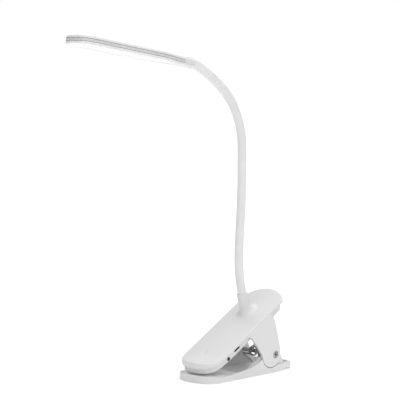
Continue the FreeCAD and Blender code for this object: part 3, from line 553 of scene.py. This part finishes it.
class LAMP_OT_spring(bpy.types.Operator):
    """Wind the closing spring: two coils on the shaft, their legs and the bridge between them"""
    bl_idname = "lamp.spring"
    bl_label = "Closing spring"

    def execute(self, context):
        sizes = context.scene.lamp_sizes
        wire = wire_tree()
        half = sizes.wire / 2
        low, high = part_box("spring_coils")
        leg_x = high.x - half
        foot = Vector((leg_x, high.y - half, low.z + half))
        leave = math.radians(SPRING_LEG_ANGLE)
        inner_x = COIL_START * MM
        steps = 96
        paths = []
        for side in (1, -1):
            path = []
            for k in range(steps + 1):
                t = k / steps
                angle = leave - (1 - t) * sizes.coil_turns * 2 * math.pi
                x = inner_x + t * sizes.coil_turns * sizes.wire
                path.append(Vector((side * x, sizes.coil_radius * math.cos(angle),
                                    PIVOT.z + sizes.coil_radius * math.sin(angle))))
            turn = path[-1]
            leg = [turn, Vector((side * leg_x, turn.y, turn.z)), Vector((side * foot.x, foot.y, foot.z))]
            paths.append(path[:-1] + rounded_path(leg, 1.6 * MM))
        coils = made_by_nodes("spring_coil_wire", edges_mesh("coil_path", paths), wire, "spring_steel",
                              Radius=half, Sides=14)
        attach(coils, "lower_jaw")
        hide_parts("spring_coils")
        low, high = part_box("spring_bridge")
        across = high.x - half
        bottom = Vector((across, low.y + half, low.z + half))
        top = Vector((across, high.y - half, high.z - half))
        mirror = Vector((-1, 1, 1))
        corners = [bottom, top, top * mirror, bottom * mirror]
        path = edges_mesh("bridge_path", [rounded_path(corners, 1.4 * MM)])
        bridge = made_by_nodes("spring_bridge_wire", path, wire, "spring_steel", Radius=half, Sides=14)
        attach(bridge, "clip_housing")
        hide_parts("spring_bridge")
        return {"FINISHED"}


CROSS_BARS = ((1.25, 0.34), (0.34, 1.25))


def cross_template(radius, height):
    """A dark slab on the floor of a screw's cross recess: painted shade for the recess."""
    def bars(work):
        for long, wide in CROSS_BARS:
            add_box(work, (radius * long * 0.9, radius * wide * 0.9, height * 0.08), (0, 0, height * 0.46))
    cross = bpy.data.objects.new("cross_floor", mesh_of("cross_floor", bars))
    bpy.context.scene.collection.objects.link(cross)
    return cross


def head_flank(half, length, taper, tip_radius, corner, neck_half):
    """The head's outline in its level frame, in millimetres, from one side of its tail round its tip."""
    sag = tip_radius - math.sqrt(tip_radius ** 2 - half ** 2)
    poles = [Vector((neck_half, 0)), Vector((neck_half, -20)),
             Vector((half, 24 - taper)), Vector((half, -taper))]
    side = []
    for k in range(6, 25):
        t = k / 24
        side.append(poles[0] * (1 - t) ** 3 + poles[1] * 3 * t * (1 - t) ** 2
                    + poles[2] * 3 * t * t * (1 - t) + poles[3] * t ** 3)
    side += [Vector((half, y)) for y in range(-int(taper) - 6, -int(length - sag - corner), -6)]
    centre = Vector((0, tip_radius - length))
    round_x = half - corner
    round_y = centre.y - math.sqrt((tip_radius - corner) ** 2 - round_x ** 2)
    meet = math.atan2(centre.y - round_y, round_x)
    for k in range(17):
        angle = -meet * k / 16
        side.append(Vector((round_x + corner * math.cos(angle), round_y + corner * math.sin(angle))))
    for k in range(1, 9):
        angle = -meet - (math.pi / 2 - meet) * k / 8
        side.append(Vector((tip_radius * math.cos(angle), centre.y + tip_radius * math.sin(angle))))
    return side + [Vector((-p.x, p.y)) for p in reversed(side[:-1])]


def add_strip(work, path, low, high, inner, outer):
    """A closed strip along a flat path in millimetres, between two heights and two offsets outwards."""
    rings = []
    for k, point in enumerate(path):
        along = path[min(k + 1, len(path) - 1)] - path[max(k - 1, 0)]
        out = Vector((-along.y, along.x)).normalized()
        if out.dot(point - Vector((0, -60.0))) < 0:
            out = -out
        near, far = point * MM + out * inner, point * MM + out * outer
        rings.append([work.verts.new((near.x, near.y, low)), work.verts.new((far.x, far.y, low)),
                      work.verts.new((far.x, far.y, high)), work.verts.new((near.x, near.y, high))])
    for a, b in zip(rings, rings[1:]):
        for k in range(4):
            work.faces.new((a[k], a[(k + 1) % 4], b[(k + 1) % 4], b[k]))
    work.faces.new(rings[0])
    work.faces.new(rings[-1])


def light_chip(work):
    """A small light chip: a body with eased edges and its round window, seat at height 0, facing +Z."""
    made = add_box(work, (3.5 * MM, 2.8 * MM, 0.55 * MM), (0, 0, 0.275 * MM))
    edges = list({edge for vertex in made for edge in vertex.link_edges})
    bmesh.ops.bevel(work, geom=edges, offset=0.12 * MM, segments=2, affect="EDGES")
    add_lathe(work, [(0, 0.5 * MM), (1.1 * MM, 0.5 * MM), (1.1 * MM, 0.6 * MM), (0.8 * MM, 0.68 * MM),
                     (0, 0.7 * MM)], 20)


class LAMP_OT_head(bpy.types.Operator):
    """Lay the band of painted shade and the two dark strips of painted shadow at the fine seams round the
    side of the head, and set its light chips
    """
    bl_idname = "lamp.head"
    bl_label = "Head trims and chips"

    def execute(self, context):
        to_place = head_frame_matrix()
        flank = head_flank(HEAD_HALF_WIDTH, HEAD_LENGTH, HEAD_TAPER, HEAD_TIP_RADIUS, HEAD_CORNER,
                           HEAD_NECK_HALF)
        # the band is the body's white darkened as painted shade for the head's side wall, and the two seam
        # strips are near black as painted shadow in its fine seams
        for name, low, high, inner, outer, finish in (
                ("head_seam_lower", -2.04, -1.76, -0.45, -0.12, "seam_shadow"),
                ("head_side_band", -1.74, 0.62, -0.3, 0.03, "side_band"),
                ("head_seam_upper", 0.62, 0.95, -0.3, 0.02, "seam_shadow")):
            mesh = mesh_of(name, lambda work: add_strip(work, flank, low * MM, high * MM,
                                                        inner * MM, outer * MM))
            mesh.transform(to_place)
            smooth(mesh, 30.0)
            piece = new_piece(name, mesh, "head_plastic", finish)
            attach(piece, "lamp_head")
        chip = bpy.data.objects.new("chip", mesh_of("chip", light_chip))
        context.scene.collection.objects.link(chip)
        down = to_place.to_3x3() @ Vector((0, 0, -1))
        places = [(to_place @ Vector((x * MM, (CHIP_FIRST + row * CHIP_PITCH) * MM, CHIP_SEAT * MM)), down)
                  for x in (-CHIP_ROW_X, CHIP_ROW_X) for row in range(CHIPS_IN_ROW)]
        chips = made_by_nodes("light_chip_rows", points_mesh("chip_points", places), placing_tree(),
                              "led_phosphor", Part=chip, Size=1.0)
        bpy.data.objects.remove(chip)
        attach(chips, "lamp_head")
        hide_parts("led_chips")
        return {"FINISHED"}


def screw_template(radius, height, shank, length):
    """A pan-head screw with a cross recess, its head's seat at height 0, facing +Z."""
    def turned(work):
        add_lathe(work, [(0, -length), (shank * 0.8, -length), (shank, -length + shank * 0.4), (shank, 0),
                         (radius * 0.97, 0), (radius, height * 0.12), (radius * 0.98, height * 0.45),
                         (radius * 0.86, height * 0.78), (radius * 0.6, height * 0.95), (0, height)], 48)

    body = bpy.data.objects.new("screw_template", mesh_of("screw_template", turned))
    cutters = []
    for k, size in enumerate(CROSS_BARS):
        def bar(work, size=size):
            made = add_box(work, (radius * size[0], radius * size[1], height * 1.3), (0, 0, height))
            for vertex in made:
                if vertex.co.z < height:
                    vertex.co.x *= 0.9
                    vertex.co.y *= 0.9
        cutters.append(bpy.data.objects.new("cross_%d" % k, mesh_of("cross_%d" % k, bar)))
    for item in [body] + cutters:
        bpy.context.scene.collection.objects.link(item)
    for cutter in cutters:
        cut = body.modifiers.new("Cross", "BOOLEAN")
        cut.operation = "DIFFERENCE"
        cut.solver = "EXACT"
        cut.object = cutter
    mesh = bpy.data.meshes.new_from_object(body.evaluated_get(bpy.context.evaluated_depsgraph_get()))
    body.modifiers.clear()
    body.data = mesh
    for cutter in cutters:
        bpy.data.objects.remove(cutter)
    return body


class LAMP_OT_screws(bpy.types.Operator):
    """Drive the two pivot screws and the four case screws"""
    bl_idname = "lamp.screws"
    bl_label = "Screws"

    def execute(self, context):
        sizes = context.scene.lamp_sizes
        tree = placing_tree()
        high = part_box("pivot_screws")[1]
        head = 1.1 * MM
        pivot = [(Vector((side * (high.x - head), PIVOT.y, PIVOT.z)), Vector((side, 0, 0)))
                 for side in (1, -1)]
        template = screw_template(sizes.screw_radius, head, 1.25 * MM, 6.5 * MM)
        piece = made_by_nodes("pivot_screw_pair", points_mesh("pivot_points", pivot), tree, "screw_steel",
                              Part=template, Size=1.0)
        bpy.data.objects.remove(template)
        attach(piece, "lower_jaw")
        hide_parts("pivot_screws")
        cross = cross_template(sizes.screw_radius, head)
        # a near-black slab in each cross recess: painted shade
        floor = made_by_nodes("pivot_screw_recess", points_mesh("recess_points", pivot), tree,
                              "screw_steel", finish="recess_painted_shade", Part=cross, Size=1.0)
        bpy.data.objects.remove(cross)
        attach(floor, "lower_jaw")
        normal = Vector((0, -math.sin(HOUSING_SLOPE), math.cos(HOUSING_SLOPE)))
        along = Vector((0, math.cos(HOUSING_SLOPE), math.sin(HOUSING_SLOPE)))
        seat = Vector((0, 0, SEAM_HEIGHT * MM)) - normal * TRAY_DEPTH * MM
        case = [(seat + along * row * MM + Vector((side * CASE_SCREW_X * MM, 0, 0)), -normal)
                for row in CASE_SCREW_ROWS for side in (1, -1)]
        template = screw_template(sizes.case_screw_radius, head, 1.0 * MM, 5.0 * MM)
        piece = made_by_nodes("case_screw_set", points_mesh("case_points", case), tree, "case_screw_steel",
                              Part=template, Size=1.0)
        bpy.data.objects.remove(template)
        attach(piece, "clip_housing")
        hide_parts("case_screws")
        return {"FINISHED"}


class LAMP_OT_stage(bpy.types.Operator):
    """Set the floor, the soft lights and the camera"""
    bl_idname = "lamp.stage"
    bl_label = "Stage"

    def execute(self, context):
        scene = context.scene
        lights = scene.lamp_lights
        floor = bpy.data.objects.new("floor", mesh_of("floor", lambda work: bmesh.ops.create_grid(
            work, x_segments=8, y_segments=8, size=FLOOR_HALF)))
        floor.data.materials.append(finish_material("floor_paper", (0.975, 0.975, 0.975), 0.9, grain=400.0,
                                                    relief=0.01, cloud=3.0, tint=0.004))
        scene.collection.objects.link(floor)
        world = bpy.data.worlds.new("studio")
        world.use_nodes = True
        scene.world = world
        tree = world.node_tree
        even = tree.nodes["Background"]
        even.inputs["Color"].default_value = (1, 1, 1, 1)
        coords = tree.nodes.new("ShaderNodeTexCoord")
        towards = tree.nodes.new("ShaderNodeVectorMath")
        towards.operation = "DOT_PRODUCT"
        towards.inputs[1].default_value = DIM_SIDE
        dimmed = tree.nodes.new("ShaderNodeMapRange")
        dimmed.inputs["From Min"].default_value = 0.15
        dimmed.inputs["From Max"].default_value = 0.95
        dimmed.inputs["To Min"].default_value = 1.0
        dimmed.inputs["To Max"].default_value = lights.shade
        tree.links.new(coords.outputs["Generated"], towards.inputs[0])
        tree.links.new(towards.outputs["Value"], dimmed.inputs["Value"])
        height = tree.nodes.new("ShaderNodeSeparateXYZ")
        overhead = tree.nodes.new("ShaderNodeMapRange")
        overhead.inputs["To Min"].default_value = lights.horizon
        overhead.inputs["To Max"].default_value = lights.zenith
        both = tree.nodes.new("ShaderNodeMath")
        both.operation = "MULTIPLY"
        tree.links.new(coords.outputs["Generated"], height.inputs["Vector"])
        tree.links.new(height.outputs["Z"], overhead.inputs["Value"])
        tree.links.new(dimmed.outputs["Result"], both.inputs[0])
        tree.links.new(overhead.outputs["Result"], both.inputs[1])
        tree.links.new(both.outputs["Value"], even.inputs["Strength"])
        seen = tree.nodes.new("ShaderNodeBackground")
        seen.inputs["Color"].default_value = (1, 1, 1, 1)
        seen.inputs["Strength"].default_value = 1.0
        rays = tree.nodes.new("ShaderNodeLightPath")
        mix = tree.nodes.new("ShaderNodeMixShader")
        tree.links.new(rays.outputs["Is Camera Ray"], mix.inputs["Fac"])
        tree.links.new(even.outputs["Background"], mix.inputs[1])
        tree.links.new(seen.outputs["Background"], mix.inputs[2])
        tree.links.new(mix.outputs["Shader"], tree.nodes["World Output"].inputs["Surface"])
        centre = Vector((0, -0.05, 0.1))
        for name, place, power, size in (("key", (1.1, 0.5, 1.7), lights.key, 1.6),
                                         ("fill", (0.75, -1.8, 0.4), lights.fill, 1.8)):
            light = bpy.data.lights.new(name, "AREA")
            light.energy = power
            light.size = size
            lamp = bpy.data.objects.new(name, light)
            lamp.location = place
            lamp.rotation_mode = "QUATERNION"
            lamp.rotation_quaternion = (centre - Vector(place)).to_track_quat("-Z", "Y")
            scene.collection.objects.link(lamp)
        camera = bpy.data.objects.new("camera", bpy.data.cameras.new("camera"))
        camera.data.lens = CAMERA_LENS
        camera.data.sensor_width = CAMERA_SENSOR
        camera.data.clip_start = 0.05
        camera.data.clip_end = 50.0
        azimuth, elevation = math.radians(CAMERA_AZIMUTH), math.radians(CAMERA_ELEVATION)
        back = Vector((math.sin(azimuth) * math.cos(elevation), -math.cos(azimuth) * math.cos(elevation),
                       math.sin(elevation)))
        camera.location = CAMERA_PLACE
        camera.rotation_mode = "QUATERNION"
        camera.rotation_quaternion = (-back).to_track_quat("-Z", "Y")
        scene.collection.objects.link(camera)
        scene.camera = camera
        scene.view_settings.view_transform = "Standard"
        return {"FINISHED"}


class LAMP_PT_panel(bpy.types.Panel):
    """Lists the lamp's sizes, colours, lights and steps"""
    bl_idname = "LAMP_PT_panel"
    bl_label = "Reading Lamp"
    bl_space_type = "VIEW_3D"
    bl_region_type = "UI"
    bl_category = "Lamp"

    def draw(self, context):
        for group in (context.scene.lamp_sizes, context.scene.lamp_colours, context.scene.lamp_lights):
            for name in group.__annotations__:
                self.layout.prop(group, name)
        for step in STEPS:
            self.layout.operator(step.bl_idname)


STEPS = (LAMP_OT_finishes, LAMP_OT_neck, LAMP_OT_head, LAMP_OT_spring, LAMP_OT_screws, LAMP_OT_stage)
GROUPS = (("lamp_sizes", LampSizes), ("lamp_colours", LampColours), ("lamp_lights", LampLights))


def register():
    for name, group in GROUPS:
        bpy.utils.register_class(group)
        setattr(bpy.types.Scene, name, PointerProperty(type=group))
    for item in STEPS + (LAMP_PT_panel,):
        bpy.utils.register_class(item)


def unregister():
    for item in reversed(STEPS + (LAMP_PT_panel,)):
        bpy.utils.unregister_class(item)
    for name, group in reversed(GROUPS):
        delattr(bpy.types.Scene, name)
        bpy.utils.unregister_class(group)


def main():
    register()
    for step in STEPS:
        family, name = step.bl_idname.split(".")
        getattr(getattr(bpy.ops, family), name)()


if __name__ == "__main__":
    main()
